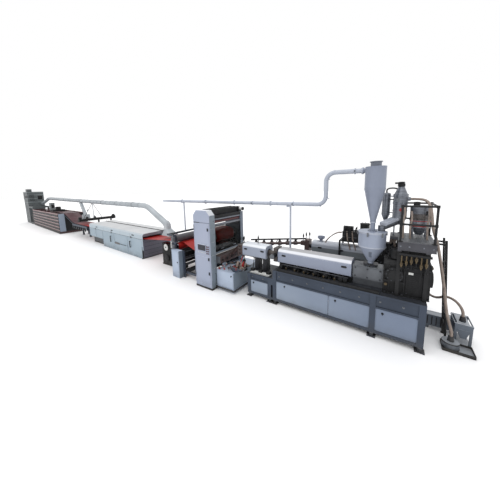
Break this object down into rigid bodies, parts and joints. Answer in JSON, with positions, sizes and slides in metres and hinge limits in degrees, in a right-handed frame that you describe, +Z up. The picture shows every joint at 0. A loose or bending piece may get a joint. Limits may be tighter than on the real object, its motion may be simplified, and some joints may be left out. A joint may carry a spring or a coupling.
{
  "type": "plastic sheet extrusion line",
  "caption": "Plastic sheet extrusion line with an extruder, hopper and cyclone, sheet die, roll calender, haul-off, oven, cutter and stacker in one row.",
  "frame": {"origin": "on the floor under the middle of the line's box", "axes": "+X upstream along the line towards the drive end, +Y to the far side, +Z up"},
  "size_m": [33.28, 2.475, 3.48],
  "materials": {
    "slate_frame": "dark slate paint",
    "pale_panel": "pale blue-grey paint",
    "white_guard": "white paint",
    "grey_steel": "machined steel",
    "black_machine": "black paint",
    "galvanised_sheet": "light grey coated sheet metal",
    "stainless": "brushed stainless steel",
    "copper_heaters": "heat-stained steel and heater bands",
    "smoked_window": "smoked acrylic",
    "chrome_roll": "polished chrome",
    "black_rubber": "rubber covering",
    "red_sheet": "glossy red plastic",
    "brown_shelf": "red-brown paint",
    "beige_hose": "ribbed plastic hose"
  },
  "bodies": {
    "line": {"extruder_bed": "slate_frame", "bed_panels": "pale_panel", "barrel": "grey_steel", "barrel_supports": "black_machine", "barrel_guard": "white_guard", "feed_block": "grey_steel", "gearbox": "black_machine", "drive_motor": "black_machine", "hopper": "galvanised_sheet", "hopper_lid": "galvanised_sheet", "cyclone": "galvanised_sheet", "cyclone_cap": "slate_frame", "conveying_pipe": "galvanised_sheet", "pipe_posts": "galvanised_sheet", "loader_platform": "grey_steel", "platform_railing": "black_machine", "drying_loader": "stainless", "vacuum_loader": "slate_frame", "suction_bin": "grey_steel", "long_hose": "beige_hose", "short_hose": "beige_hose", "rear_bed": "slate_frame", "rear_guard": "white_guard", "rear_drive": "black_machine", "dosing_unit": "black_machine", "melt_pipe": "grey_steel", "die_stand": "slate_frame", "melt_pump": "copper_heaters", "pump_guard": "white_guard", "sheet_die": "copper_heaters", "die_trolley": "pale_panel", "scrap_tray": "slate_frame", "calender_cabinet": "white_guard", "calender_frame": "slate_frame", "calender_top_beam": "black_machine", "calender_window": "smoked_window", "haul_off_frame": "slate_frame", "haul_off_cabinets": "pale_panel", "haul_off_drive": "black_machine", "oven_body": "pale_panel", "oven_lid": "white_guard", "oven_plenum": "white_guard", "duct_hood": "galvanised_sheet", "extraction_duct": "galvanised_sheet", "cutter_frame": "slate_frame", "cutter_beam": "black_machine", "stacker_frame": "slate_frame", "stacker_shelves": "brown_shelf", "end_tower": "pale_panel", "plastic_sheet": "red_sheet"},
    "bottom_calender_roll": {"calender_roll_bottom": "chrome_roll"},
    "middle_calender_roll": {"calender_roll_middle": "chrome_roll"},
    "top_calender_roll": {"calender_roll_top": "chrome_roll"},
    "upper_haul_roll": {"haul_off_top_roll": "black_rubber"},
    "lower_haul_roll": {"haul_off_bottom_roll": "chrome_roll"}
  },
  "joints": [
    {"name": "bottom_calender_roll_spin", "type": "hinge", "parent": "line", "child": "bottom_calender_roll", "pos_m": [10.745, -0.3875, 0.6925], "axis": [0, 1, 0], "continuous": true},
    {"name": "middle_calender_roll_spin", "type": "hinge", "parent": "line", "child": "middle_calender_roll", "pos_m": [10.745, -0.3875, 1.1075], "axis": [0, 1, 0], "continuous": true},
    {"name": "top_calender_roll_spin", "type": "hinge", "parent": "line", "child": "top_calender_roll", "pos_m": [10.745, -0.3875, 1.5225], "axis": [0, 1, 0], "continuous": true},
    {"name": "upper_haul_roll_spin", "type": "hinge", "parent": "line", "child": "upper_haul_roll", "pos_m": [9.09, -0.3875, 1.2925], "axis": [0, 1, 0], "continuous": true},
    {"name": "lower_haul_roll_spin", "type": "hinge", "parent": "line", "child": "lower_haul_roll", "pos_m": [9.09, -0.3875, 1.0075], "axis": [0, 1, 0], "continuous": true}
  ],
  "couplings": [
    {"joint": "bottom_calender_roll_spin", "follows": "middle_calender_roll_spin", "ratio": -1},
    {"joint": "top_calender_roll_spin", "follows": "middle_calender_roll_spin", "ratio": -1},
    {"joint": "lower_haul_roll_spin", "follows": "upper_haul_roll_spin", "ratio": -1}
  ]
}
